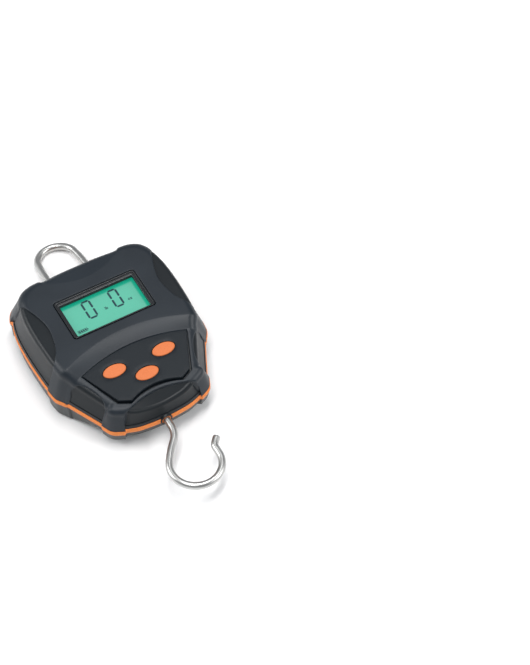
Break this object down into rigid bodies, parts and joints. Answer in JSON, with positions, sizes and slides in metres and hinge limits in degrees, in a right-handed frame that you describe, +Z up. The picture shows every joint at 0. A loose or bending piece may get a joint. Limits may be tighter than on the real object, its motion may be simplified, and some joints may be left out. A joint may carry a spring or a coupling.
{
  "type": "digital fish scale",
  "caption": "Pocket hanging scale: two-part soft-grip case with lit display, oval keys, orange seal, open wire hook, tilting hanging loop and sliding battery door.",
  "frame": {"origin": "on the resting surface, under the middle of the overall box, with the scale lying on its back", "axes": "+X to the right of the display, +Y from the hook towards the hanging loop, +Z up out of the display"},
  "size_m": [0.0922, 0.1863, 0.0334],
  "materials": {
    "case_plastic": "fine satin texture",
    "soft_grip": "matte soft-touch",
    "seal_rubber": "matte",
    "key_rubber": "matte",
    "keypad_plastic": "fine grain",
    "clear_lens": "clear",
    "lcd_face": "green backlit display with dark segments",
    "light_panel": "white diffuser",
    "contact_strip": "matte",
    "board_resin": "green laminate",
    "black_resin": "moulded",
    "cell_metal": "machined",
    "stainless_steel": "bright drawn wire",
    "screw_steel": "plated",
    "spring_steel": "nickel plated",
    "cell_label": "film",
    "silicone": "satin"
  },
  "bodies": {
    "case": {"front_shell": "case_plastic", "front_grip": "soft_grip", "case_seal": "seal_rubber", "rear_shell": "case_plastic", "rear_grip": "soft_grip", "display_bezel": "keypad_plastic", "display_lens": "clear_lens", "lcd_glass": "lcd_face", "lcd_backlight": "light_panel", "lcd_connector_upper": "contact_strip", "lcd_connector_lower": "contact_strip", "keypad_panel": "keypad_plastic", "power_switch": "black_resin", "units_switch": "black_resin", "tare_switch": "black_resin", "circuit_board": "board_resin", "measuring_chip": "black_resin", "sounder": "black_resin", "load_cell": "cell_metal", "gauge_potting": "silicone", "gauge_lead": "black_resin", "cell_screw_1": "screw_steel", "cell_screw_2": "screw_steel", "board_screw_1": "screw_steel", "board_screw_2": "screw_steel", "case_screw_1": "screw_steel", "case_screw_2": "screw_steel", "case_screw_3": "screw_steel", "case_screw_4": "screw_steel", "hook_washer": "screw_steel", "battery_1": "cell_label", "battery_2": "cell_label", "battery_tab_1": "spring_steel", "battery_tab_2": "spring_steel", "battery_spring_1": "spring_steel", "battery_spring_2": "spring_steel"},
    "hook": {"weighing_hook": "stainless_steel", "hook_nut": "screw_steel"},
    "loop": {"hanging_loop": "stainless_steel"},
    "power_button": {"power_key": "key_rubber"},
    "units_button": {"units_key": "key_rubber"},
    "tare_button": {"tare_key": "key_rubber"},
    "door": {"battery_door": "case_plastic"}
  },
  "joints": [
    {"name": "hook_swivel", "type": "hinge", "parent": "case", "child": "hook", "pos_m": [0, -0.04467, 0.0125], "axis": [0, 1, 0], "continuous": true},
    {"name": "loop_tilt", "type": "hinge", "parent": "case", "child": "loop", "pos_m": [0, 0.03233, 0.0125], "axis": [1, 0, 0], "range_deg": [0, 20.6]},
    {"name": "power_press", "type": "slide", "parent": "case", "child": "power_button", "axis": [0, 0.1211, -0.9926], "range_m": [0, 0.0007], "stiffness_N_per_m": 900},
    {"name": "units_press", "type": "slide", "parent": "case", "child": "units_button", "axis": [0, 0.1211, -0.9926], "range_m": [0, 0.0007], "stiffness_N_per_m": 900},
    {"name": "tare_press", "type": "slide", "parent": "case", "child": "tare_button", "axis": [0, 0.1211, -0.9926], "range_m": [0, 0.0007], "stiffness_N_per_m": 900},
    {"name": "door_slide", "type": "slide", "parent": "case", "child": "door", "axis": [0, -1, 0], "range_m": [0, 0.046]}
  ]
}
